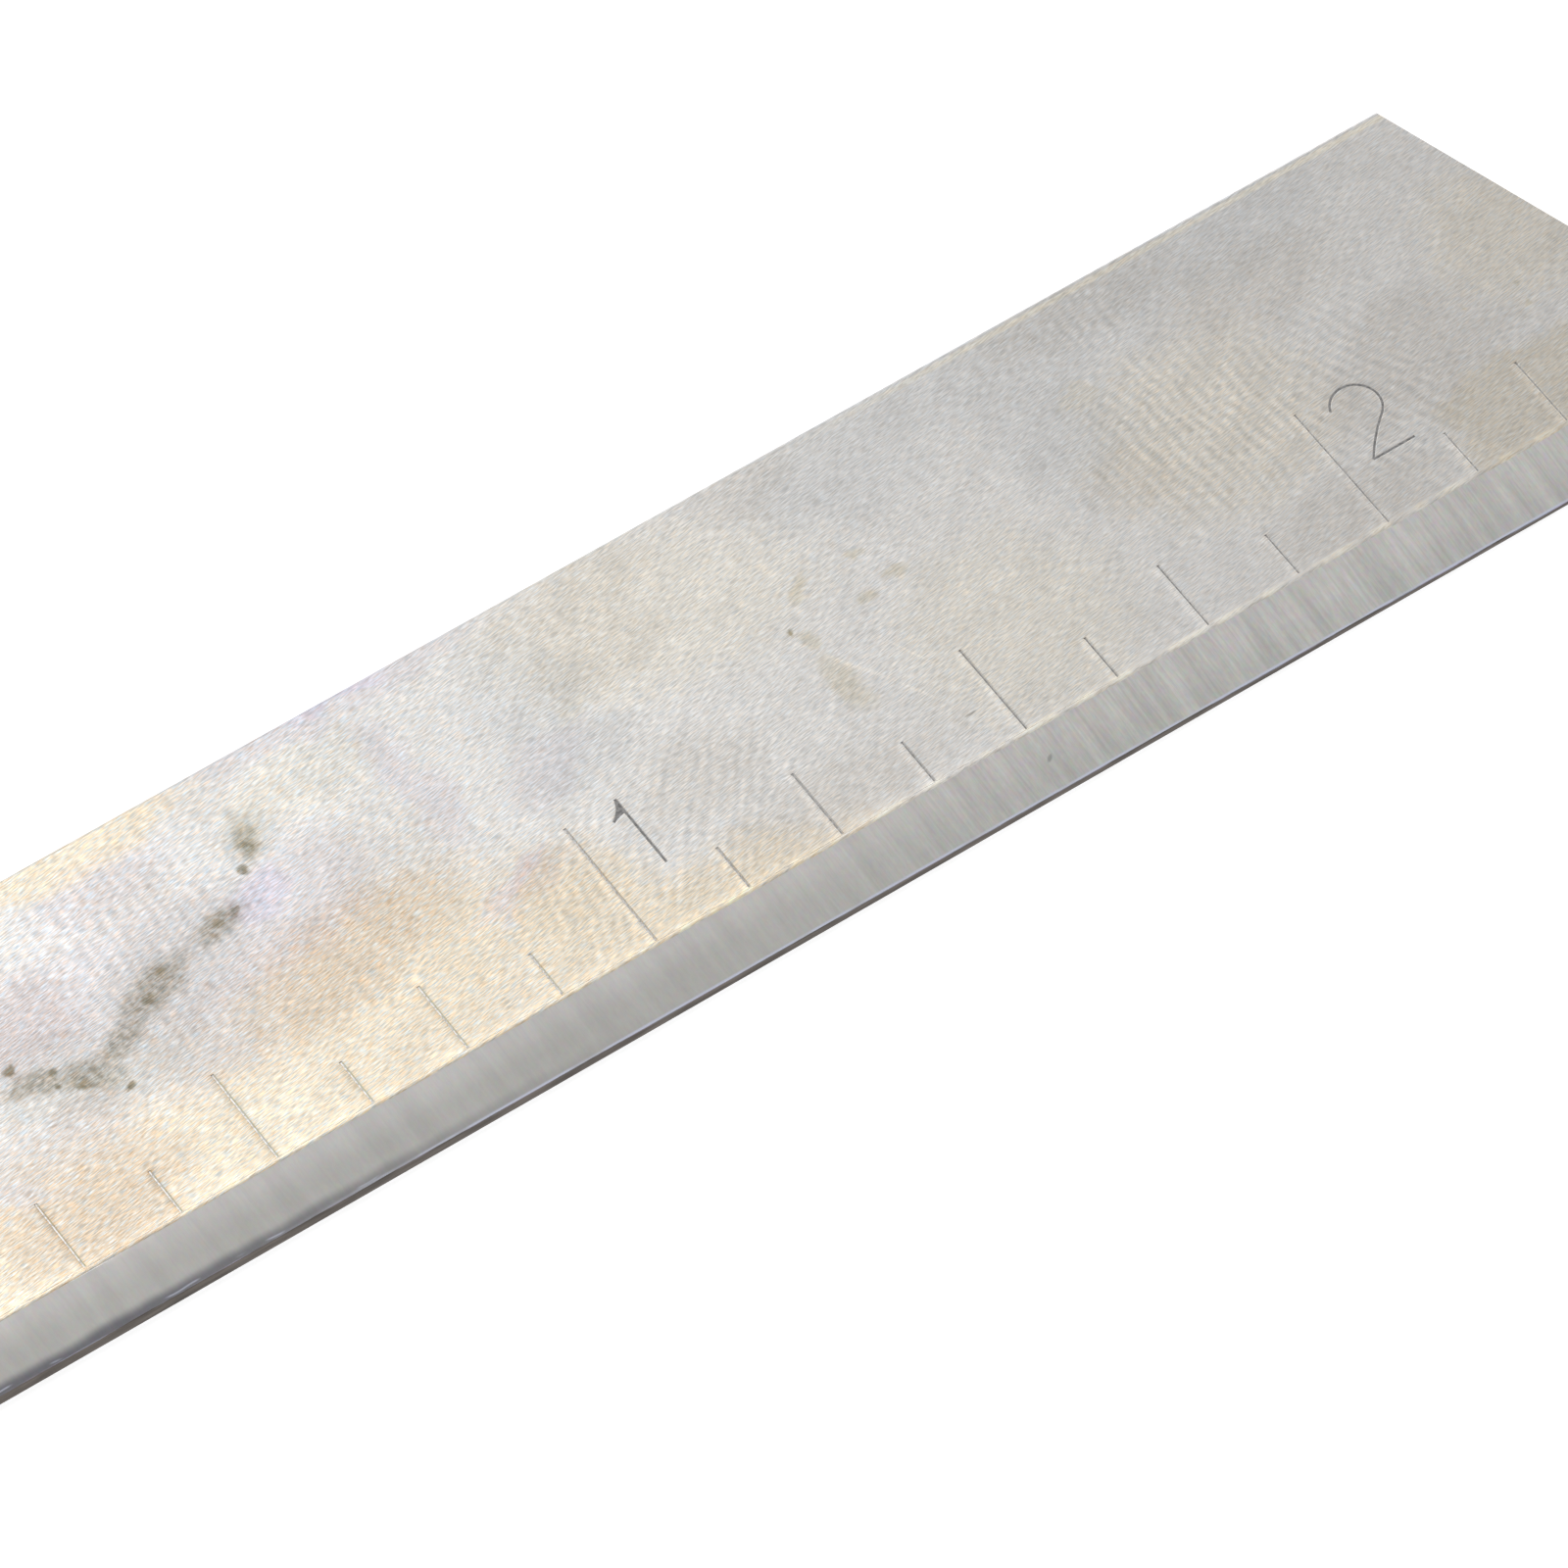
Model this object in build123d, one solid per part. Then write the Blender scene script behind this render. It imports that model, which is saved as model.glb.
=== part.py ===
from build123d import *
import os
from math import radians, tan

# Small one-piece steel ruler with a scale of eighths of an inch.
# Lengths are millimetres. The blade lies flat on Z = 0 with its scale facing +Z.
# The origin is under the middle of the blade's box. +X runs along the scale, away
# from the square zero end, and +Y points from the bevelled edge to the plain back edge.

# Blade
INCH = 25.4
THICKNESS = 1.0
WIDTH = 14.07
BACK_LENGTH = 59.2  # length of the plain back edge
END_SLANT = 18.3  # degrees from square: the bevelled edge is the longer one
BEVEL_RUN = 1.8  # width of the bevel, seen from above
LAND_AT_ZERO = 0.48  # height of the upright land under the bevel, at the zero end
LAND_AT_TIP = 0.18  # the same at the slanted end: the bevel is ground slightly out of true

# Broken edges
LOWER_RADIUS = 0.06
LAND_RADIUS = 0.07
BEVEL_TOP_RADIUS = 0.2
BACK_RADIUS = 0.12
END_BREAK = 0.04  # flat on the long edges of both ends

# Engraved marks, one for each eighth of an inch
MARKS_PER_INCH = 8
MARK_COUNT = 19
MARK_FOOT_GAP = 0.1  # from the bevel's top edge to the foot of every mark
INCH_MARK = 4.6
HALF_MARK = 3.31
QUARTER_MARK = 2.51
EIGHTH_MARK = 1.64

# V-shaped groove of every mark and numeral, and the dark fill at its bottom
GROOVE_WIDTH = 0.12
GROOVE_DEPTH = 0.03
MARK_FILL = 0.01  # height of the fill
NUMERAL_FILL = 0.018
CUTTER_RISE = 0.02  # how far each cutter stands out of the surface

# Numerals: places are counted from the foot of the numeral's own inch mark
NUMERAL_FOOT = 2.04
NUMERAL_TOP = 4.62
ONE_STEM = 1.74
ONE_FLAG_BEND = (1.58, 4.27)
ONE_FLAG_TIP = (1.27, 3.98)
ONE_POCKET_CORNER = (1.74, 4.1)
ONE_POCKET_DEPTH = 0.02
TWO_BOWL_CENTRE = (1.64, 3.85)
TWO_BOWL_RADIUS = 0.77
TWO_BOWL_START = 162  # degrees
TWO_BOWL_END = -52
TWO_FOOT_LEFT = 0.94
TWO_FOOT_RIGHT = 2.4

LENGTH = BACK_LENGTH + WIDTH * tan(radians(END_SLANT))
ZERO_X = -LENGTH / 2
TIP_X = LENGTH / 2
BACK_CORNER_X = ZERO_X + BACK_LENGTH
FRONT_Y = -WIDTH / 2
BACK_Y = WIDTH / 2
BEVEL_TOP_Y = FRONT_Y + BEVEL_RUN
MARK_FOOT_Y = BEVEL_TOP_Y + MARK_FOOT_GAP

NEAR = 0.01  # how close a place has to be to count as the one asked for


def blank():
    """The strip of steel, cut to its outline."""
    corners = [(ZERO_X, FRONT_Y), (TIP_X, FRONT_Y), (BACK_CORNER_X, BACK_Y), (ZERO_X, BACK_Y)]
    return extrude(make_face(Polyline(*corners, close=True)), THICKNESS)


def bevel_section(x):
    """What the bevel's grinding takes away at x, with some air around it."""
    land = LAND_AT_ZERO + (LAND_AT_TIP - LAND_AT_ZERO) * (x - ZERO_X) / LENGTH
    rise = (THICKNESS - land) / BEVEL_RUN
    air = BEVEL_RUN / 4
    corners = [
        (FRONT_Y - air, land - rise * air),
        (BEVEL_TOP_Y + air, THICKNESS + rise * air),
        (FRONT_Y - air, THICKNESS + rise * air),
    ]
    return Plane.YZ.offset(x) * make_face(Polyline(*corners, close=True))


def ground_blade():
    """The blank with its bevel, whose slope turns slightly along the blade."""
    overrun = BEVEL_RUN
    sections = [bevel_section(ZERO_X - overrun), bevel_section(TIP_X + overrun)]
    return blank() - loft(sections, ruled=True)


def long_edge(blade, y, z):
    """The edge along the blade whose middle is at this place across and this height."""

    def fits(edge):
        middle = edge @ 0.5
        return abs(middle.Y - y) < NEAR and abs(middle.Z - z) < NEAR

    return blade.edges().filter_by(fits)


def round_long_edges(blade):
    """The blade with its five long edges rounded."""
    middle_land = (LAND_AT_ZERO + LAND_AT_TIP) / 2
    rounds = [
        (FRONT_Y, middle_land, LAND_RADIUS),
        (BEVEL_TOP_Y, THICKNESS, BEVEL_TOP_RADIUS),
        (FRONT_Y, 0, LOWER_RADIUS),
        (BACK_Y, 0, LOWER_RADIUS),
        (BACK_Y, THICKNESS, BACK_RADIUS),
    ]
    for y, z, radius in rounds:
        blade = fillet(long_edge(blade, y, z), radius)
    return blade


def end_break(front_x, back_x, z):
    """A square bar on its corner that takes the sharpness off one long edge of an end."""
    edge = Line((front_x, FRONT_Y, z), (back_x, BACK_Y, z))
    across = Plane(edge @ 0, x_dir=(0, 0, 1), z_dir=edge % 0)
    diamond = RegularPolygon(END_BREAK, 4)
    return extrude(across * diamond, edge.length)


def plain_blade():
    """The blade before it is engraved."""
    ends = [(ZERO_X, ZERO_X), (TIP_X, BACK_CORNER_X)]
    breaks = [end_break(front, back, z) for front, back in ends for z in (0, THICKNESS)]
    return round_long_edges(ground_blade()) - breaks


def groove(path):
    """A V-shaped cutter along a level line or arc in the upper face."""
    heading = path % 0
    across = Plane(path @ 0, x_dir=Vector(0, 0, 1).cross(heading), z_dir=heading)
    half_width = GROOVE_WIDTH / 2 * (1 + CUTTER_RISE / GROOVE_DEPTH)
    corners = [(-half_width, CUTTER_RISE), (half_width, CUTTER_RISE), (0, -GROOVE_DEPTH)]
    return sweep(across * make_face(Polyline(*corners, close=True)), path)


def on_face(x, y):
    """A point of the upper face, counted from where the scale's zero meets the marks' feet."""
    return Vector(ZERO_X + x, MARK_FOOT_Y + y, THICKNESS)


def mark_length(number):
    """How long the mark at this eighth of an inch is."""
    if number % MARKS_PER_INCH == 0:
        return INCH_MARK
    if number % (MARKS_PER_INCH // 2) == 0:
        return HALF_MARK
    if number % (MARKS_PER_INCH // 4) == 0:
        return QUARTER_MARK
    return EIGHTH_MARK


def mark_cutter(number):
    """The cutter of one mark of the scale."""
    x = number * INCH / MARKS_PER_INCH
    return groove(Line(on_face(x, 0), on_face(x, mark_length(number))))


def numeral_one_cutter():
    """The numeral 1: an upright stem and a bent flag with a shallow pocket behind it."""
    foot = on_face(INCH + ONE_STEM, NUMERAL_FOOT)
    top = on_face(INCH + ONE_STEM, NUMERAL_TOP)
    bend = on_face(INCH + ONE_FLAG_BEND[0], ONE_FLAG_BEND[1])
    tip = on_face(INCH + ONE_FLAG_TIP[0], ONE_FLAG_TIP[1])
    pocket_corner = on_face(INCH + ONE_POCKET_CORNER[0], ONE_POCKET_CORNER[1])
    flag = ThreePointArc(top, bend, tip)
    rim = make_face([flag, Line(tip, pocket_corner), Line(pocket_corner, top)])
    pocket = extrude(rim, ONE_POCKET_DEPTH, dir=(0, 0, -1))
    return groove(Line(foot, top)) + groove(flag) + pocket


def numeral_two_cutter():
    """The numeral 2: a round bowl, a gently bent diagonal and a straight foot."""
    centre = on_face(2 * INCH + TWO_BOWL_CENTRE[0], TWO_BOWL_CENTRE[1])
    foot_left = on_face(2 * INCH + TWO_FOOT_LEFT, NUMERAL_FOOT)
    foot_right = on_face(2 * INCH + TWO_FOOT_RIGHT, NUMERAL_FOOT)
    turn = TWO_BOWL_END - TWO_BOWL_START
    bowl = CenterArc(centre, TWO_BOWL_RADIUS, TWO_BOWL_START, turn)
    diagonal = TangentArc(bowl @ 1, foot_left, tangent=bowl % 1)
    return groove(bowl) + groove(diagonal) + groove(Line(foot_left, foot_right))


def fill_of(cutter, height):
    """The dark fill that covers the bottom of one engraved shape up to this height."""
    middle = THICKNESS - GROOVE_DEPTH + height / 2
    return cutter & Pos(0, 0, middle) * Box(2 * LENGTH, 2 * WIDTH, height)


mark_cutters = [mark_cutter(number) for number in range(1, MARK_COUNT + 1)]
numeral_cutters = [numeral_one_cutter(), numeral_two_cutter()]

nodes = {"ruler_blade": plain_blade() - mark_cutters - numeral_cutters}
for number, cutter in enumerate(mark_cutters, start=1):
    nodes[f"mark_fill_{number:02d}"] = fill_of(cutter, MARK_FILL)
for number, cutter in enumerate(numeral_cutters, start=1):
    nodes[f"numeral_{number}_fill"] = fill_of(cutter, NUMERAL_FILL)

os.makedirs("parts", exist_ok=True)
for node, solid in nodes.items():
    export_step(solid, f"parts/{node}.step")
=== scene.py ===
import math

import bmesh
import bpy
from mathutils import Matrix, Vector, noise


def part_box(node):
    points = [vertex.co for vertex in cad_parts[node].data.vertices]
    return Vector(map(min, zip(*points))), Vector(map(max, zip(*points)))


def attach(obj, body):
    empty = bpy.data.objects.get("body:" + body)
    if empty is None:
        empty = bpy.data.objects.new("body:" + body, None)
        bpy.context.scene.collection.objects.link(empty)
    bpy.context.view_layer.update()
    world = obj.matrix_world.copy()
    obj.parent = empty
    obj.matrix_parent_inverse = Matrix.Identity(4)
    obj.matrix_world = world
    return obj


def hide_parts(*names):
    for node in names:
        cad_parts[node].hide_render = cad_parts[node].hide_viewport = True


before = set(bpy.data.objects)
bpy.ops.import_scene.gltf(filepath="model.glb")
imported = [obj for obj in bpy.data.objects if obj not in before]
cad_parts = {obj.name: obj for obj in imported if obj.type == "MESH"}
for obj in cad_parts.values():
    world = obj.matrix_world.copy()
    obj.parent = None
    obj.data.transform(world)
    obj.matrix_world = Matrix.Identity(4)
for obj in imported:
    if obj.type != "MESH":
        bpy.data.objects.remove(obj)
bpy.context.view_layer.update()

MM = 0.001
INCH = 25.4 * MM
BLADE_LOW, BLADE_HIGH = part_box("ruler_blade")
TOP_Z = BLADE_HIGH.z
MARK_LOW, MARK_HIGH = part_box("mark_fill_08")
ZERO_X = (MARK_LOW.x + MARK_HIGH.x) / 2 - INCH
FOOT_Y = MARK_LOW.y
SCALE_ORIGIN = Vector((ZERO_X, FOOT_Y, TOP_Z))

# All places on the blade below are in millimetres from SCALE_ORIGIN: along the scale from
# its zero, across it from the marks' feet, and up from the engraved face.

# ---------------------------------------------------------------- node graphs


class Graph:
    """Builds shader nodes. Every method returns the output socket of a new node."""

    def __init__(self, owner):
        owner.use_nodes = True
        self.nodes = owner.node_tree.nodes
        self.links = owner.node_tree.links

    def feed(self, socket, value):
        """Links a socket to another, or sets its value."""
        if isinstance(value, bpy.types.NodeSocket):
            self.links.new(value, socket)
        elif value is not None:
            socket.default_value = value

    def math(self, operation, a, b=None, c=None):
        node = self.nodes.new("ShaderNodeMath")
        node.operation = operation
        for socket, given in zip(node.inputs, (a, b, c)):
            self.feed(socket, given)
        return node.outputs[0]

    def vector(self, operation, a, b=None):
        node = self.nodes.new("ShaderNodeVectorMath")
        node.operation = operation
        self.feed(node.inputs[0], a)
        self.feed(node.inputs["Scale" if operation == "SCALE" else 1], b)
        return node.outputs["Value" if operation == "DOT_PRODUCT" else "Vector"]

    def range(self, value, low, high, to_low=0.0, to_high=1.0):
        """Goes smoothly from to_low at low to to_high at high."""
        node = self.nodes.new("ShaderNodeMapRange")
        node.interpolation_type = "SMOOTHSTEP"
        for socket, given in zip(node.inputs, (value, low, high, to_low, to_high)):
            self.feed(socket, given)
        return node.outputs[0]

    def placed(self, where, centre, radii, turn=0.0):
        """The point seen from centre, turned back by turn degrees and divided by radii."""
        node = self.nodes.new("ShaderNodeMapping")
        node.vector_type = "TEXTURE"
        self.feed(node.inputs["Vector"], where)
        node.inputs["Location"].default_value = centre
        node.inputs["Rotation"].default_value = (0, 0, math.radians(turn))
        node.inputs["Scale"].default_value = radii
        return node.outputs[0]

    def noise_node(self, where, detail, roughness):
        node = self.nodes.new("ShaderNodeTexNoise")
        self.feed(node.inputs["Vector"], where)
        node.inputs["Scale"].default_value = 1
        node.inputs["Detail"].default_value = detail
        node.inputs["Roughness"].default_value = roughness
        return node

    def noise(self, where, detail, roughness):
        """One number, mostly between 0.25 and 0.75."""
        return self.noise_node(where, detail, roughness).outputs[0]

    def drift(self, where, detail, roughness, reach):
        """Three numbers that swing around zero, over a span of about reach."""
        colour = self.noise_node(where, detail, roughness).outputs["Color"]
        return self.vector("SCALE", self.vector("SUBTRACT", colour, (0.5, 0.5, 0.5)), reach)

    def mix(self, amount, a, b):
        """From colour a to colour b. Colours stay vectors, which keeps the shader light."""
        node = self.nodes.new("ShaderNodeMix")
        node.data_type = "VECTOR"
        self.feed(node.inputs[0], amount)
        self.feed(node.inputs[4], a)
        self.feed(node.inputs[5], b)
        return node.outputs[1]

    def glaze(self, amount, colour, tint):
        """The colour multiplied by the tint, as far as amount says."""
        return self.vector("MULTIPLY", colour, self.mix(amount, (1, 1, 1), tint))

    def split(self, vector):
        node = self.nodes.new("ShaderNodeSeparateXYZ")
        self.feed(node.inputs[0], vector)
        return node.outputs

    def join(self, x, y, z):
        node = self.nodes.new("ShaderNodeCombineXYZ")
        for socket, given in zip(node.inputs, (x, y, z)):
            self.feed(socket, given)
        return node.outputs[0]

    def bump(self, height, distance):
        """The surface's normal, tilted as if by this height times distance."""
        node = self.nodes.new("ShaderNodeBump")
        node.inputs["Distance"].default_value = distance
        self.feed(node.inputs["Height"], height)
        return node.outputs[0]

    def place(self, name):
        """A texture coordinate: Object, Normal or Generated."""
        return self.nodes.new("ShaderNodeTexCoord").outputs[name]

    def scale_position(self):
        """The surface point in millimetres from the scale's origin."""
        offset = self.vector("SUBTRACT", self.place("Object"), SCALE_ORIGIN)
        return self.vector("SCALE", offset, 1 / MM)

    def swing(self, value, amount):
        """A noise value made to run from 1 - amount to 1 + amount."""
        return self.math("MULTIPLY_ADD", self.range(value, 0.25, 0.75, -1.0, 1.0), amount, 1.0)

    def brighten(self, colour, factor):
        return self.vector("SCALE", colour, factor)

    def warm(self, colour, factor):
        """Redder and less blue where factor is over one, and the reverse under one."""
        cool = self.math("SUBTRACT", 2.0, factor)
        return self.vector("MULTIPLY", colour, self.join(factor, 1.0, cool))


def new_material(name):
    material = bpy.data.materials.new(name)
    return material, Graph(material)


# ---------------------------------------------------------------- stains and tints

# Each spot is an ellipse: its centre along and across the scale, its two radii, its turn
# in degrees, and the width of its soft rim as a share of its size. The steel's colour is
# multiplied by the colour of the group that the spot is in. The tints are partly an oxide
# film and partly painted reflections of the studio's light.
TINTS = [
    (
        (1.09, 0.988, 0.81),  # gold, along the bevelled edge and at the back: partly an oxide film, partly a painted warm reflection
        [
            (9, -0.6, 18, 5.0, 0, 0.5),
            (18.5, 2.6, 6.0, 4.4, 10, 0.6),
            (26, -0.4, 9.5, 3.0, -6, 0.9),
            (23.8, 1.6, 3.6, 3.8, -10, 0.8),
            (12.8, 12.4, 5.2, 1.7, -6, 0.5),
        ],
    ),
    (
        (1.07, 1.08, 1.09),  # white, where the gold is polished: a painted highlight
        [
            (10.4, 0.3, 1.8, 1.0, 0, 1.0),
            (13.8, 0.8, 1.5, 1.5, 0, 1.0),
        ],
    ),
    (
        (0.83, 0.79, 0.775),  # dull, between the polished patches
        [
            (7.4, 1.9, 4.2, 3.6, -10, 0.9),
            (16.5, 4.5, 7.2, 2.3, 6, 1.0),
            (9.2, 7.8, 2.4, 1.9, 0, 1.0),
            (9.0, 4.0, 2.0, 1.1, -10, 1.0),
        ],
    ),
    (
        (0.93, 0.91, 0.955),  # lavender
        [
            (13.4, 10.3, 3.2, 1.5, 0, 1.0),
            (12, 7.3, 8.0, 3.0, 0, 1.0),
            (17.5, 6.8, 4.0, 2.4, 12, 1.0),
            (22.8, 8.2, 1.0, 3.4, 4, 1.0),
            (22.0, 12.1, 6.5, 1.0, -2, 1.0),
            (23.6, 3.6, 2.0, 0.6, 22, 1.0),
        ],
    ),
    (
        (0.96, 0.95, 1.06),  # violet flecks
        [
            (17.0, 7.6, 1.4, 0.9, 30, 1.0),
            (22.4, 12.2, 2.4, 0.4, -3, 1.0),
            (23.2, 3.9, 2.4, 0.4, 20, 1.0),
        ],
    ),
    (
        (0.96, 1.0, 1.09),  # pale blue smears
        [
            (6.3, 3.0, 1.6, 0.45, -32, 0.9),
            (7.5, 2.2, 0.5, 0.4, 0, 1.0),
            (22.4, 3.05, 0.9, 0.17, 26, 0.8),
            (21.5, 2.6, 0.4, 0.12, 30, 0.8),
        ],
    ),
    (
        (0.90, 0.912, 0.928),  # blue-grey clouds
        [
            (27.0, 9.0, 2.6, 2.6, 0, 1.0),
            (27.4, 6.3, 2.2, 1.2, 18, 1.0),
            (45, 11.4, 11, 2.8, -3, 1.0),
            (45, 8.2, 3.0, 3.0, 0, 1.0),
            (52, 11.2, 6.0, 2.2, -4, 1.0),
            (38.5, 10.2, 4.0, 2.0, -14, 1.0),
            (21.2, 10.2, 2.0, 1.4, 0, 1.0),
        ],
    ),
    (
        (0.92, 0.905, 0.885),  # grey
        [
            (17.4, 11.4, 1.8, 1.2, 0, 1.0),
            (20.6, 6.6, 2.8, 2.3, 0, 1.0),
            (24.2, 3.2, 2.0, 1.8, 0, 1.0),
            (30.0, 11.0, 4.0, 1.4, 0, 1.0),
            (32.0, 1.2, 5.5, 1.6, 0, 1.0),
            (36.2, 11.6, 2.2, 1.5, 0, 1.0),
            (13.9, 9.6, 2.2, 1.7, 0, 1.0),
            (29.5, 9.2, 2.8, 1.8, 0, 1.0),
            (29.5, 3.9, 3.0, 1.9, 0, 1.0),
            (52.4, 9.2, 3.8, 2.2, 0, 1.0),
            (54.4, 4.0, 4.4, 2.1, 0, 1.0),
            (45.6, 5.4, 1.8, 1.6, 0, 1.0),
            (47.8, 11.4, 4.6, 1.7, 0, 1.0),
            (50.4, 0.8, 4.2, 1.6, 0, 1.0),
            (55.4, 5.4, 2.8, 1.6, -10, 1.0),
        ],
    ),
    (
        (0.91, 0.90, 0.935),  # violet-grey
        [
            (26.2, 6.6, 2.2, 1.3, 24, 1.0),
        ],
    ),
    (
        (1.04, 1.015, 0.95),  # cream
        [
            (27.9, 8.1, 0.85, 0.75, 0, 0.8),
            (31.5, 9.4, 6.5, 3.6, -12, 1.0),
            (40.0, 3.0, 4.5, 4.5, 30, 1.0),
            (20.0, 10.2, 3.0, 1.6, 0, 1.0),
        ],
    ),
    (
        (1.015, 0.98, 0.905),  # warm grey
        [
            (48.6, 5.6, 4.8, 4.2, 0, 1.0),
            (60.0, 6.5, 3.6, 3.4, 0, 1.0),
            (46, 8.6, 1.0, 0.8, 0, 1.0),
        ],
    ),
    (
        (0.935, 0.89, 0.80),  # tan
        [
            (57.2, 0.4, 3.8, 2.9, 16, 0.3),
            (55.3, 1.9, 1.5, 1.2, 0, 0.6),
        ],
    ),
]

# Old olive stains: soft clusters of fine dots, and the darkest single dots
CLUSTERS = [
    (8.4, 5.9, 1.1, 0.6, -8, 1.0),
    (9.9, 5.2, 1.25, 0.75, -30, 1.0),
    (12.9, 6.6, 1.9, 0.8, 22, 1.0),
    (11.2, 5.7, 1.5, 0.6, 24, 1.0),
    (15.6, 7.4, 1.2, 0.55, 12, 1.0),
    (17.8, 9.3, 0.5, 0.9, -20, 1.0),
]
# Darkest dots in the stains: centre and radius
DOTS = [
    (8.1, 6.6, 0.26),
    (9.0, 5.9, 0.286),
    (9.0, 5.5, 0.26),
    (9.6, 5.0, 0.416),
    (10.6, 4.3, 0.26),
    (12.6, 6.4, 0.442),
    (13.4, 6.9, 0.39),
    (15.6, 7.35, 0.338),
    (16.2, 7.5, 0.286),
    (17.2, 8.6, 0.26),
    (17.8, 9.1, 0.338),
    (34.55, 6.55, 0.182),
]
HAZE = [
    (10.0, 5.4, 4.6, 1.9, -14, 1.0),
    (13.6, 6.9, 4.6, 2.0, 20, 1.0),
    (17.9, 9.5, 1.4, 1.0, 55, 1.0),
]

HAZE_TINT = (0.84, 0.84, 0.82)
STAIN_TINT = (0.52, 0.465, 0.32)  # olive brown

# Faint brown smudges
SMUDGE_TINT = (0.90, 0.865, 0.78)
SMUDGES = [
    (36.95, 6.33, 0.45, 0.28, 0, 1.0),
    (38.2, 6.6, 0.5, 0.3, 0, 1.0),
    (35.5, 7.6, 0.7, 0.3, 50, 1.0),
    (37.6, 7.75, 0.4, 0.25, 0, 1.0),
    (34.8, 5.95, 0.35, 0.5, 0, 1.0),
    (34.8, 4.2, 0.6, 1.5, 4, 1.0),
    (57.1, 4.9, 0.16, 0.12, 0, 1.0),
    (58.9, 4.7, 0.2, 0.14, 0, 1.0),
    (58.8, 4.0, 0.16, 0.14, 0, 1.0),
]

# Fingerprints: a spot, the direction in degrees across the ridges, their spacing and how
# strong they are
PRINTS = [
    ((48.2, 5.8, 4.6, 4.2, 0, 0.8), 4, 0.42, 0.095),
    ((53.0, 4.4, 3.2, 5.4, 0, 0.9), 24, 0.42, 0.075),
    ((28.8, 3.2, 5.6, 4.4, 0, 0.8), -38, 0.4, 0.05),
    ((24.2, 1.8, 2.2, 2.6, 0, 0.8), -18, 0.38, 0.07),
    ((13.4, 8.2, 5.4, 4.8, 0, 0.9), -3, 0.43, 0.065),
    ((47.8, 10.6, 1.4, 1.8, 0, 1.0), 0, 0.4, 0.08),
]

# Scratches: very narrow spots
PALE_SCRATCH_TINT = (1.09, 1.08, 1.06)
DARK_SCRATCH_TINT = (0.62, 0.6, 0.58)
PALE_SCRATCHES = [
    (34.4, 6.1, 0.9, 0.09, -48, 0.9),
    (35.3, 4.6, 1.5, 0.1, -58, 0.9),
    (36.3, 2.9, 1.0, 0.07, -62, 0.9),
    (36.9, 4.1, 1.2, 0.05, -66, 0.9),
    (44.2, 2.6, 1.6, 0.03, 8, 0.9),
]
DARK_SCRATCHES = [
    (37.1, 1.33, 0.26, 0.045, 2, 0.6),
]


def spot_amount(graph, where, spot):
    """One inside a spot and zero outside, with its soft rim between."""
    x, y, across, up, turn, rim = spot
    offset = graph.vector("SUBTRACT", where, (x, y, 0))
    cosine, sine = math.cos(math.radians(turn)), math.sin(math.radians(turn))
    u = graph.vector("DOT_PRODUCT", offset, (cosine / across, sine / across, 0))
    v = graph.vector("DOT_PRODUCT", offset, (-sine / up, cosine / up, 0))
    squared = graph.math("MULTIPLY_ADD", v, v, graph.math("MULTIPLY", u, u))
    return graph.range(squared, 1, (1 - rim) ** 2)


def any_of(graph, where, spots):
    """The strongest of the spots at each point."""
    amount = spot_amount(graph, where, spots[0])
    for spot in spots[1:]:
        amount = graph.math("MAXIMUM", amount, spot_amount(graph, where, spot))
    return amount


def wandering(graph, where, grain, reach):
    """The point, moved about by noise of this grain size, so that rims look natural."""
    drift = graph.drift(graph.vector("SCALE", where, 1 / grain), 3, 0.6, reach)
    return graph.vector("ADD", where, graph.vector("MULTIPLY", drift, (1, 1, 0)))


def tinted(graph, face, fleck, colour):
    """The steel's colour with the tints on it. Single grains take more or less of them."""
    where = wandering(graph, face, 1.4, 1.8)
    patchy = graph.range(fleck, 0.3, 0.7, 0.45, 1.35)
    for tint, spots in TINTS:
        amount = graph.math("MULTIPLY", any_of(graph, where, spots), patchy)
        colour = graph.glaze(amount, colour, tint)
    return colour


def stained(graph, face, colour):
    """Olive stains, their haze and the smudges. Returns the colour and how stained each
    point is."""
    where = wandering(graph, face, 0.7, 0.75)
    crumbs = graph.noise(graph.vector("SCALE", face, 1 / 0.2), 2, 0.55)
    cluster = any_of(graph, where, CLUSTERS)
    mottle = graph.range(crumbs, 0.28, 0.7, 0.4, 1.0)
    dotted = graph.math("MULTIPLY", graph.math("MULTIPLY", cluster, mottle), 0.62)
    round_spots = [(x, y, radius, radius, 0, 1.0) for x, y, radius in DOTS]
    dots = any_of(graph, where, round_spots)
    darkest = graph.math("MULTIPLY", dots, dots)
    darkest = graph.math("MULTIPLY", darkest, graph.range(mottle, 0.2, 0.8, 0.4, 0.85))
    stain = graph.math("MAXIMUM", dotted, darkest)
    colour = graph.glaze(any_of(graph, face, HAZE), colour, HAZE_TINT)
    uneven = graph.range(mottle, 0.2, 0.8, 0.5, 1.0)
    smudge = graph.math("MULTIPLY", any_of(graph, where, SMUDGES), uneven)
    colour = graph.glaze(smudge, colour, SMUDGE_TINT)
    return graph.glaze(stain, colour, STAIN_TINT), stain


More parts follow.
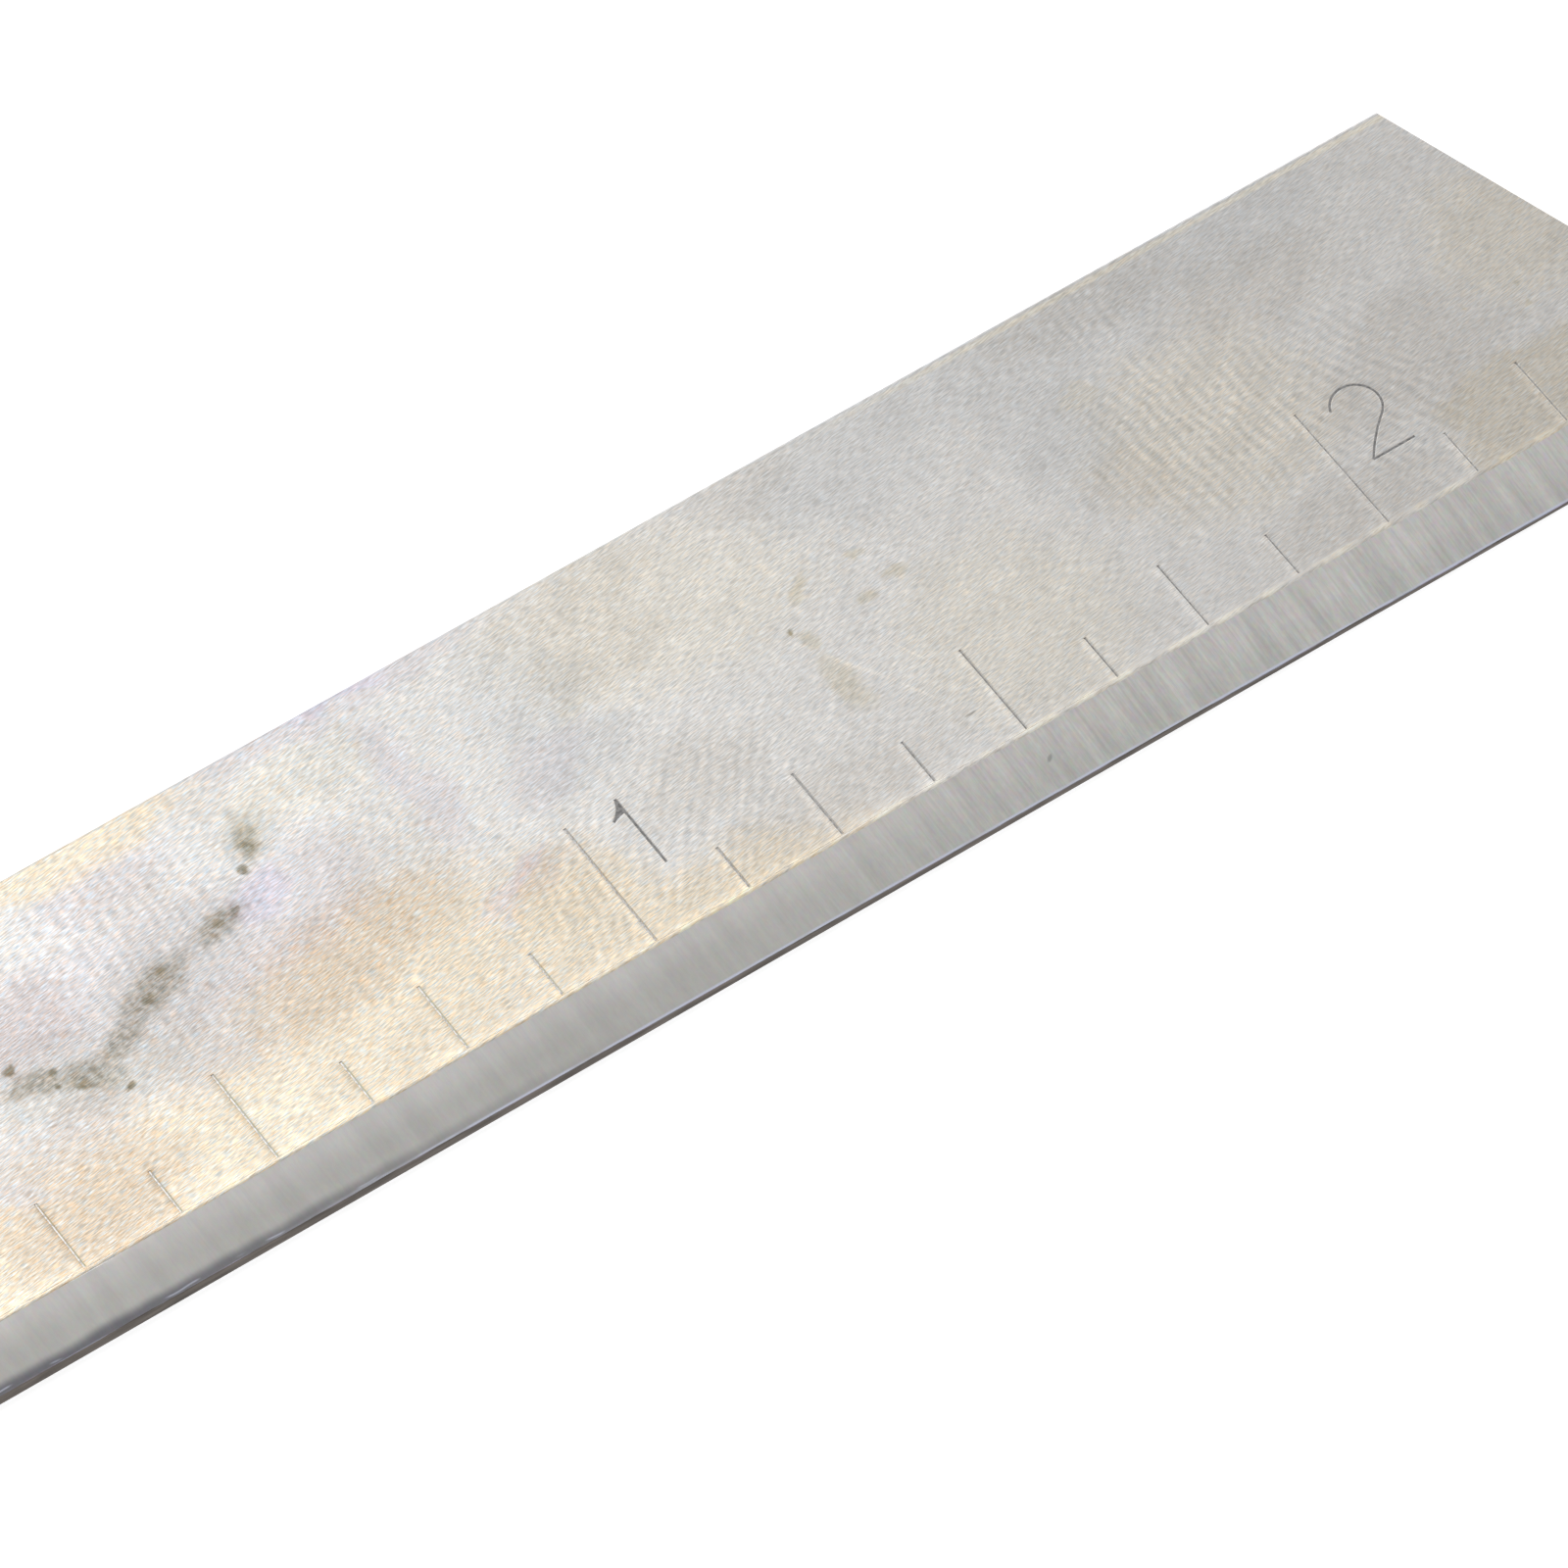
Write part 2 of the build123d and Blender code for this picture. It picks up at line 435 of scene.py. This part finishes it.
def printed(graph, face, colour):
    """Faint fingerprint ridges, warm on the crests and cool between them."""
    where = wandering(graph, face, 2.6, 0.8)
    worn = graph.range(graph.noise(graph.vector("SCALE", face, 1 / 0.7), 2, 0.6), 0.35, 0.6, 0.25, 1.0)
    crests = 0.0
    for spot, across, spacing, strength in PRINTS:
        step = math.tau / spacing
        turn = math.radians(across)
        phase = graph.vector("DOT_PRODUCT", where, (step * math.cos(turn), step * math.sin(turn), 0))
        wave = graph.math("MULTIPLY", graph.math("SINE", phase), strength)
        crests = graph.math("MULTIPLY_ADD", wave, spot_amount(graph, face, spot), crests)
    crests = graph.math("MULTIPLY", crests, worn)
    colour = graph.brighten(colour, graph.math("ADD", crests, 1.0))
    return graph.warm(colour, graph.math("MULTIPLY_ADD", crests, 0.1, 1.0))


def scratched(graph, face, colour):
    """The colour with the scratches on it, a little wavy."""
    where = wandering(graph, face, 0.6, 0.12)
    colour = graph.glaze(any_of(graph, where, PALE_SCRATCHES), colour, PALE_SCRATCH_TINT)
    return graph.glaze(any_of(graph, where, DARK_SCRATCHES), colour, DARK_SCRATCH_TINT)


# ---------------------------------------------------------------- blade steel

STEEL = (0.69, 0.675, 0.655)
BEVEL_TOP_STEEL = (0.80, 0.78, 0.76)
BEVEL_STEEL = (0.66, 0.65, 0.62)
BEVEL_RIGHT_STEEL = (0.785, 0.77, 0.74)
BEVEL_RIGHT_LOW_STEEL = (0.715, 0.71, 0.68)
# The land's dark colour is painted shade, partly a dark oxidised edge
LAND_STEEL = (0.115, 0.10, 0.088)
SIDE_STEEL = (0.62, 0.61, 0.595)
BEVEL_PIT = (38.2, -1.0, 0.17, 0.08, 35, 1.0)
GRAIN_LENGTH = 0.33
GRAIN_WIDTH = 0.038
GRAIN_TURN = 9  # degrees that the grain rises along the scale
GRAIN_HEIGHT = 0.004 * MM
BEVEL_TURN = 6  # degrees that the bevel's lines lean
BEVEL_LINE_HEIGHT = 0.003 * MM

# The marks are worn and soft up to WORN_TO along the scale, and crisp from CRISP_FROM.
WORN_TO = 14
CRISP_FROM = 28

# Marks stand at every one of these shares of an inch, as long as the mark named here.
MARK_STEPS = [
    (1 / 8, "mark_fill_01"),
    (1 / 4, "mark_fill_02"),
    (1 / 2, "mark_fill_04"),
    (1, "mark_fill_08"),
]
# Painted shade beside the soft marks, and a painted highlight on the left of each mark
WORN_SHADOW = (0.83, 0.805, 0.765)
BURR_LIGHT = (1.13, 1.12, 1.11)


def grain_noise(graph, point, detail, offset=0.0):
    """Short grinding marks, all lying the same way."""
    size = (GRAIN_LENGTH, GRAIN_WIDTH, GRAIN_WIDTH)
    return graph.noise(graph.placed(point, (offset, 0, 0), size, GRAIN_TURN), detail, 0.55)


def finish_steel(graph, colour, roughness, bump=None):
    """Feeds the material's shader, which is all metal."""
    shader = graph.nodes["Principled BSDF"]
    graph.feed(shader.inputs["Base Color"], colour)
    graph.feed(shader.inputs["Roughness"], roughness)
    graph.feed(shader.inputs["Normal"], bump)
    shader.inputs["Metallic"].default_value = 1


def engraved_steel():
    """The face with the scale: grain, tints, stains, fingerprints and a polished rim, and
    painted highlights and shade at the rim, the marks and the back edge.
    """
    material, graph = new_material("engraved_steel")
    point = graph.scale_position()
    along, across, _ = graph.split(point)
    face = graph.vector("MULTIPLY", point, (1, 1, 0))
    grain = grain_noise(graph, point, 2)
    hue = grain_noise(graph, point, 1, 31)
    colour, stain = stained(graph, face, tinted(graph, face, hue, STEEL))
    colour = scratched(graph, face, printed(graph, face, colour))
    cloud = graph.noise(graph.placed(face, (7, 3, 0), (1.6, 0.9, 1), 40), 4, 0.65)
    colour = graph.brighten(colour, graph.swing(cloud, 0.06))
    colour = graph.brighten(colour, graph.swing(grain, graph.range(along, 20, 50, 0.26, 0.23)))
    colour = graph.warm(colour, graph.swing(hue, graph.range(along, 18, 32, 0.13, 0.045)))
    colour = worn_rim_and_painted_glints(graph, along, across, grain, colour)
    colour = back_edge_painted_highlight(graph, along, across, colour)
    colour = mark_shoulders_painted_light(graph, along, across, colour)
    colour = groove_walls_painted_light(graph, along, colour)
    roughness = graph.math("MULTIPLY_ADD", stain, 0.2, graph.range(grain, 0.2, 0.8, 0.42, 0.34))
    finish_steel(graph, colour, roughness, graph.bump(grain, GRAIN_HEIGHT))
    return material


def plain_steel():
    """The underside, the back and the ends: the same grain, duller and less handled."""
    material, graph = new_material("plain_steel")
    point = graph.scale_position()
    grain = grain_noise(graph, point, 3)
    cloud = graph.placed(point, (0, 0, 0), (3.0, 1.4, 1.4), GRAIN_TURN)
    drift = graph.drift(cloud, 3, 0.6, 0.14)
    colour = graph.vector("MULTIPLY", SIDE_STEEL, graph.vector("ADD", drift, (1, 1, 1)))
    colour = graph.brighten(colour, graph.swing(grain, 0.24))
    finish_steel(graph, colour, graph.range(grain, 0.2, 0.8, 0.46, 0.36), graph.bump(grain, 0.005 * MM))
    return material


def worn_rim_and_painted_glints(graph, along, across, grain, colour):
    """The worn, polished strip where the face meets the bevel, brightened as a painted
    highlight, with painted glints on its edge.
    """
    ragged = graph.math("MULTIPLY_ADD", graph.math("SUBTRACT", grain, 0.5), 0.9, across)
    patches = graph.noise(graph.placed(graph.join(along, 0, 0), (4, 0, 0), (1.3, 1, 1)), 2, 0.6)
    wide = graph.math("MULTIPLY", graph.range(ragged, 0.40, 0.02), graph.range(along, 40, 26))
    wide = graph.math("MULTIPLY", wide, graph.range(patches, 0.35, 0.6, 0.35, 1.0))
    thin = graph.range(ragged, 0.1, -0.02, 0, 0.75)
    # painted highlight on the worn, polished strip
    colour = graph.glaze(graph.math("MAXIMUM", wide, thin), colour, (1.19, 1.17, 1.14))
    # painted glints along the bevel's top edge, towards the right
    glint = graph.math("MULTIPLY", graph.range(across, 0.07, -0.01), graph.range(patches, 0.45, 0.55))
    glint = graph.math("MULTIPLY", glint, graph.range(along, 20, 30))
    return graph.glaze(glint, colour, (1.20, 1.18, 1.11))


def back_edge_painted_highlight(graph, along, across, colour):
    """A painted highlight: a bright line just inside the back edge, right of the middle, and
    a darker, bluer very edge.
    """
    inner = graph.range(across, 11.78, 11.86)
    strip = graph.math("MULTIPLY", inner, graph.range(across, 12.04, 11.96))
    bright = graph.math("MULTIPLY", strip, graph.range(along, 36, 46))
    # painted highlight along the rounded back edge
    colour = graph.glaze(bright, colour, (1.16, 1.12, 1.02))
    # the very edge darker and bluer
    return graph.glaze(graph.range(across, 12.03, 12.12), colour, (0.84, 0.85, 0.88))


def mark_shoulders_painted_light(graph, along, across, colour):
    """The steel beside the marks: a painted highlight on the left of each mark, where a raised
    edge would catch the light, and, towards the zero end, a wide soft brown painted shade
    beside the marks, which are worn there."""
    crisp = graph.range(along, WORN_TO, CRISP_FROM)
    soft = 0.0
    mark_painted_highlight = 0.0
    for share, mark in MARK_STEPS:
        length = (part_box(mark)[1].y - FOOT_Y) / MM
        step = share * INCH / MM
        place = graph.math("DIVIDE", along, step)
        offset = graph.math("SUBTRACT", place, graph.math("ROUND", place))
        away = graph.math("MULTIPLY", offset, step)
        end = graph.range(across, length + 0.08, length - 0.1)
        near = graph.range(graph.math("ABSOLUTE", graph.math("ADD", away, 0.03)), 0.24, 0.0)
        outer = graph.range(away, -0.32, -0.16)
        left = graph.math("MULTIPLY", outer, graph.range(away, -0.05, -0.12))
        soft = graph.math("MAXIMUM", soft, graph.math("MULTIPLY", near, end))
        mark_painted_highlight = graph.math("MAXIMUM", mark_painted_highlight, graph.math("MULTIPLY", left, end))
    above_foot = graph.range(across, -0.06, 0.04)
    soft = graph.math("MULTIPLY", graph.math("MULTIPLY", soft, above_foot), graph.range(crisp, 1, 0))
    mark_painted_highlight = graph.math("MULTIPLY", graph.math("MULTIPLY", mark_painted_highlight, above_foot), crisp)
    # painted shade beside the marks towards the zero end
    colour = graph.glaze(soft, colour, WORN_SHADOW)
    # painted highlight on the left of each mark
    return graph.glaze(mark_painted_highlight, colour, BURR_LIGHT)


def groove_walls_painted_light(graph, along, colour):
    """Painted light on the marks' walls. The right walls face the darker wall of the studio,
    so they are painted paler, most of all in the worn marks towards the zero end. The left
    walls get a little painted shade."""
    lean = graph.split(graph.place("Normal"))[0]
    crisp = graph.range(along, WORN_TO, CRISP_FROM)
    right = graph.mix(crisp, (1.90, 1.82, 1.70), (1.08, 1.08, 1.08))
    # painted paler right walls
    colour = graph.glaze(graph.range(lean, -0.1, -0.4), colour, right)
    left = graph.mix(crisp, (1.0, 0.97, 0.92), (0.92, 0.91, 0.90))
    # painted shade on the left walls
    return graph.glaze(graph.range(lean, 0.1, 0.4), colour, left)


def bevel_steel():
    """Fine grinding lines across the bevel, stronger to the right."""
    material, graph = new_material("bevel_steel")
    point = graph.scale_position()
    along, across, _ = graph.split(point)
    lines = graph.noise(graph.placed(point, (0, 0, 0), (0.11, 2.2, 2.2), BEVEL_TURN), 3, 0.65)
    bands = graph.noise(graph.placed(point, (5, 0, 0), (0.6, 4.0, 4.0), BEVEL_TURN), 2, 0.5)
    right = graph.range(along, 22, 44)
    left = graph.mix(graph.range(across, -0.2, -1.2), BEVEL_TOP_STEEL, BEVEL_STEEL)
    low = graph.mix(graph.range(across, -0.7, -1.6), BEVEL_RIGHT_STEEL, BEVEL_RIGHT_LOW_STEEL)
    colour = graph.mix(right, left, low)
    colour = graph.brighten(colour, graph.swing(lines, graph.range(right, 0, 1, 0.028, 0.10)))
    colour = graph.brighten(colour, graph.swing(bands, graph.range(right, 0, 1, 0.05, 0.08)))
    crumbs = graph.placed(point, (9, 1, 0), (0.13, 0.24, 0.24), BEVEL_TURN)
    rainbow = graph.drift(crumbs, 2, 0.6, graph.range(right, 0, 1, 0.18, 0.3))
    colour = graph.vector("MULTIPLY", colour, graph.vector("ADD", rainbow, (1, 1, 1)))
    colour = graph.glaze(spot_amount(graph, point, BEVEL_PIT), colour, (0.66, 0.66, 0.66))
    colour = lower_arris_painted_light(graph, along, across, colour)
    roughness = graph.range(lines, 0.2, 0.8, 0.42, 0.34)
    finish_steel(graph, colour, roughness, graph.bump(lines, BEVEL_LINE_HEIGHT))
    return material


def lower_arris_painted_light(graph, along, across, colour):
    """The rounded lower edge of the bevel: painted shade at the left, and a thin pale painted
    highlight line that is broken into short lenses towards the zero end."""
    wave = graph.noise(graph.placed(graph.join(along, 0, 0), (2, 0, 0), (1.7, 1, 1)), 1, 0.5)
    lit = graph.noise(graph.placed(graph.join(along, 0, 0), (6, 0, 0), (1.5, 1, 1)), 1, 0.5)
    moved = graph.math("MULTIPLY_ADD", graph.math("SUBTRACT", wave, 0.5), 0.22, across)
    dark = graph.math("MULTIPLY", graph.range(moved, -1.50, -1.80), graph.range(along, 26, 6))
    # painted shade on the rounded lower edge, at the left
    colour = graph.glaze(dark, colour, (0.40, 0.40, 0.46))
    line = graph.math("MULTIPLY", graph.range(across, -1.80, -1.86), graph.range(along, 10, 20))
    lens = graph.math("MULTIPLY", graph.range(moved, -1.77, -1.80), graph.range(moved, -1.84, -1.81))
    lens = graph.math("MULTIPLY", lens, graph.range(lit, 0.5, 0.6))
    broken = graph.math("MULTIPLY", lens, graph.range(along, 20, 12, 0, 0.6))
    line = graph.math("MULTIPLY", line, graph.range(lit, 0.38, 0.5, 0.5, 1.0))
    # painted highlight: a pale line and short lenses along the arris
    return graph.mix(graph.math("MAXIMUM", line, broken), colour, (0.80, 0.84, 0.98))


def land_steel():
    """The upright land, its darkness painted shade and partly a dark oxidised edge, and
    painted blue and violet glints along its worn upper arris.
    """
    material, graph = new_material("land_steel")
    point = graph.scale_position()
    facing = graph.split(graph.place("Normal"))[1]
    patches = graph.noise(graph.placed(point, (3, 0, 0), (1.6, 1, 0.2), 0), 3, 0.6)
    # painted shade: the land's dark colour, partly a dark oxidised edge
    dark = graph.brighten(LAND_STEEL, graph.swing(patches, 0.35))
    glint = graph.noise(graph.placed(point, (0, 0, 0), (0.9, 1, 1), 0), 1, 0.5)
    # painted blue and violet glints on the worn arris
    pale = graph.mix(graph.range(glint, 0.4, 0.6), (0.50, 0.56, 0.76), (0.62, 0.57, 0.80))
    arris = graph.math("MULTIPLY", graph.range(facing, -0.97, -0.80), graph.range(patches, 0.35, 0.6))
    finish_steel(graph, graph.mix(arris, dark, pale), 0.35)
    return material


def fill_material(name, worn, middle, end):
    """Old grey paint at the bottom of the lines, which has gone to bare metal towards the
    zero end. Its tone goes from worn there to middle, and to end at the slanted end."""
    material, graph = new_material(name)
    point = graph.scale_position()
    along = graph.split(point)[0]
    crumbs = graph.noise(graph.vector("SCALE", point, 1 / 0.09), 2, 0.6)
    paler = graph.range(along, 42, 54, 0, end - middle)
    tone = graph.math("ADD", graph.range(along, 40, 16, middle, worn), paler)
    tone = graph.math("MULTIPLY", tone, graph.swing(crumbs, 0.4))
    shader = graph.nodes["Principled BSDF"]
    graph.feed(shader.inputs["Base Color"], graph.brighten((1.0, 0.98, 0.97), tone))
    shader.inputs["Roughness"].default_value = 0.5
    bare = graph.range(along, 30, 14, 0.0, 0.85)
    graph.feed(shader.inputs["Metallic"], bare)
    graph.feed(shader.inputs["Normal"], graph.bump(crumbs, GRAIN_HEIGHT))
    return material


# ---------------------------------------------------------------- blade mesh

WELD = 0.0001 * MM
RIM_BACK = FOOT_Y - 0.02 * MM  # the rim's wear ends here, just short of the marks
RIM_FRONT = FOOT_Y - 0.16 * MM
LAND_MIDDLE = 0.09 * MM  # the arris's wear ends this high
ARRIS_WIDTH = 0.25 * MM
ARRIS_BACK = BLADE_LOW.y + ARRIS_WIDTH
SLICE = 0.25 * MM
LEVEL = 0.0001  # a face whose slope is within this of level or upright is flat
SHARP_ANGLE = math.radians(12)
ENGRAVED, BEVEL, LAND, PLAIN = range(4)  # the finishes, in the order of the blade's slots

# Wear, in millimetres
RIM_THICKNESS = 0.06
RIM_DROP = 0.002
DENT_DEPTH = 0.006
DENT_LENGTH = 0.5
ARRIS_DEPTH = 0.006
ARRIS_DEPTH_MORE = 0.03  # more than that at the zero end, falling to nothing
ARRIS_FALL = 40  # over this length
WAVE_LENGTH = 1.9


def cut(mesh, faces, place, normal):
    """Cuts these faces along a plane, without taking anything away."""
    edges = {edge for face in faces for edge in face.edges}
    verts = {vert for face in faces for vert in face.verts}
    geometry = [*faces, *edges, *verts]
    bmesh.ops.bisect_plane(mesh, geom=geometry, dist=WELD, plane_co=place, plane_no=normal)


def front_faces(mesh):
    """The faces from the rim to the land."""
    front = [face for face in mesh.faces if face.calc_center_median().y < RIM_BACK]
    return [face for face in front if face.normal.z > -0.3]


def crosses(face, x):
    places = [vert.co.x for vert in face.verts]
    return min(places) < x < max(places)


def slice_front(mesh):
    """Divides the rim, the bevel and the land so that they can be worn."""
    upper = [face for face in mesh.faces if face.normal.z > 0.9]
    cut(mesh, upper, (0, RIM_BACK, 0), (0, 1, 0))
    for y in (RIM_FRONT, ARRIS_BACK):
        cut(mesh, front_faces(mesh), (0, y, 0), (0, 1, 0))
    cut(mesh, front_faces(mesh), (0, 0, LAND_MIDDLE), (0, 0, 1))
    count = round((BLADE_HIGH.x - BLADE_LOW.x) / SLICE)
    for step in range(1, count):
        x = BLADE_LOW.x + step * SLICE
        cut(mesh, [face for face in front_faces(mesh) if crosses(face, x)], (x, 0, 0), (1, 0, 0))


def wear(mesh):
    """Presses small dents into the rim and a wavy wear line into the land's arris."""
    for vert in mesh.verts:
        x = ((vert.co - SCALE_ORIGIN) / MM).x
        on_rim = RIM_FRONT < vert.co.y < RIM_BACK - WELD
        if on_rim and vert.co.z > TOP_Z - RIM_THICKNESS * MM:
            dent = 0.5 + 0.5 * noise.noise(Vector((x / DENT_LENGTH, 3, 0)))
            vert.co.z -= (RIM_DROP + DENT_DEPTH * dent) * MM
        if vert.co.y < ARRIS_BACK - WELD and vert.co.z > LAND_MIDDLE + WELD:
            wave = 0.5 + 0.5 * noise.noise(Vector((x / WAVE_LENGTH, 7, 0)))
            inward = (ARRIS_BACK - vert.co.y) / ARRIS_WIDTH
            upward = (vert.co.z - LAND_MIDDLE) / LAND_MIDDLE
            left = 1 - min(max(x / ARRIS_FALL, 0), 1)
            depth = (ARRIS_DEPTH + ARRIS_DEPTH_MORE * left) * wave * min(inward, upward, 1) * MM
            vert.co.y += 0.8 * depth
            vert.co.z -= 0.6 * depth


def detailed_blade():
    """The CAD blade with worn edges and its four finishes."""
    mesh = bmesh.new()
    mesh.from_mesh(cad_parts["ruler_blade"].data)
    bmesh.ops.remove_doubles(mesh, verts=mesh.verts, dist=WELD)
    slice_front(mesh)
    wear(mesh)
    bmesh.ops.recalc_face_normals(mesh, faces=mesh.faces)
    data = bpy.data.meshes.new("worn_blade")
    mesh.to_mesh(data)
    mesh.free()
    data.attributes.remove(data.attributes["custom_normal"])
    blade = bpy.data.objects.new("worn_blade", data)
    bpy.context.scene.collection.objects.link(blade)
    paint(blade, engraved_steel(), bevel_steel(), land_steel(), plain_steel())
    for face in data.polygons:
        face.material_index = finish_of(face)
        face.use_smooth = LEVEL < abs(face.normal.z) < 1 - LEVEL
    data.set_sharp_from_angle(angle=SHARP_ANGLE)
    return blade


def finish_of(face):
    """Which finish a face has, told from where it looks and where it lies."""
    if face.normal.y < -0.75:
        return LAND
    if face.normal.z < 0.5:
        return PLAIN
    return BEVEL if face.center.y < RIM_FRONT else ENGRAVED


def paint(piece, *materials):
    """Gives the piece these materials in its slots, in this order."""
    piece.data.materials.clear()
    for material in materials:
        piece.data.materials.append(material)


# ---------------------------------------------------------------- studio


FLOOR_SIZE = 6
FLOOR_GREY = (0.65, 0.65, 0.65, 1)
FLOOR_GLOW = 0.7
WHITE = (1, 1, 1, 1)

CAMERA_LENS = 297.2
CAMERA_TARGET = Vector((-0.56 * MM, -2.79 * MM, TOP_Z))
CAMERA_DISTANCE = 365.55 * MM
CAMERA_AZIMUTH = math.radians(-34.617)
CAMERA_ELEVATION = math.radians(55.515)

KEY_PLACE = Vector((0.0, 0.15, 0.26))
KEY_TARGET = Vector((-0.03, 0, 0))
KEY_WIDTH = 0.15
KEY_HEIGHT = 0.16
KEY_RADIANCE = 1.8

TENT = 0.56
LOW_TENT = 1.1  # more than that low down, behind and to the right
DIM_WALL = 0.75  # share of it that the dimmer wall gives
BEHIND = Vector((0.8, 0.6, 0))
DIM_SIDE = Vector((-0.56, 0.5, 0.66))


def floor():
    bpy.ops.mesh.primitive_plane_add(size=FLOOR_SIZE, location=(0, 0, 0))
    plane = bpy.context.object
    plane.name = "floor"
    material, graph = new_material("floor")
    shader = graph.nodes["Principled BSDF"]
    shader.inputs["Base Color"].default_value = FLOOR_GREY
    shader.inputs["Roughness"].default_value = 1
    shader.inputs["Specular IOR Level"].default_value = 0
    shader.inputs["Emission Color"].default_value = WHITE
    shader.inputs["Emission Strength"].default_value = FLOOR_GLOW
    paint(plane, material)


def key_light():
    """A soft box behind and above the ruler, which brightens the zero end."""
    data = bpy.data.lights.new("key", "AREA")
    data.shape = "RECTANGLE"
    data.size = KEY_WIDTH
    data.size_y = KEY_HEIGHT
    data.energy = KEY_RADIANCE * math.pi * KEY_WIDTH * KEY_HEIGHT
    light = bpy.data.objects.new("key", data)
    light.location = KEY_PLACE
    light.rotation_euler = (KEY_TARGET - KEY_PLACE).to_track_quat("-Z", "Y").to_euler()
    light.visible_camera = False
    bpy.context.scene.collection.objects.link(light)


def camera():
    data = bpy.data.cameras.new("camera")
    data.sensor_width = 36
    data.lens = CAMERA_LENS
    data.clip_start = 0.01
    data.clip_end = 10
    cam = bpy.data.objects.new("camera", data)
    level = Vector((math.sin(CAMERA_AZIMUTH), -math.cos(CAMERA_AZIMUTH), 0))
    back = level * math.cos(CAMERA_ELEVATION) + Vector((0, 0, math.sin(CAMERA_ELEVATION)))
    cam.location = CAMERA_TARGET + back * CAMERA_DISTANCE
    cam.rotation_euler = (-back).to_track_quat("-Z", "Y").to_euler()
    bpy.context.scene.collection.objects.link(cam)
    bpy.context.scene.camera = cam


def tent():
    """An even pale tent, brighter low down behind and to the right of the ruler, with a
    dimmer wall high up to the left."""
    world = bpy.data.worlds.new("studio")
    graph = Graph(world)
    direction = graph.place("Generated")
    up = graph.split(direction)[2]
    behind = graph.range(graph.vector("DOT_PRODUCT", direction, BEHIND), 0.1, 0.7)
    low = graph.math("MULTIPLY", graph.range(up, 0.6, 0.2), behind)
    dim = graph.range(graph.vector("DOT_PRODUCT", direction, DIM_SIDE), 0.8, 0.98)
    strength = graph.math("MULTIPLY_ADD", low, LOW_TENT, TENT)
    strength = graph.math("MULTIPLY", strength, graph.range(dim, 0, 1, 1.0, DIM_WALL))
    sky = graph.nodes["Background"]
    sky.inputs["Color"].default_value = WHITE
    graph.feed(sky.inputs["Strength"], strength)
    bpy.context.scene.world = world


blade = detailed_blade()
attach(blade, "root")
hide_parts("ruler_blade")

mark_fill = fill_material("mark_fill", 0.85, 0.32, 0.4)
numeral_fill = fill_material("numeral_fill", 0.3, 0.26, 0.26)
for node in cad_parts:
    if node.startswith("mark"):
        paint(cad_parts[node], mark_fill)
    if node.startswith("numeral"):
        paint(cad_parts[node], numeral_fill)
floor()
camera()
tent()
key_light()
bpy.context.scene.view_settings.view_transform = "Standard"
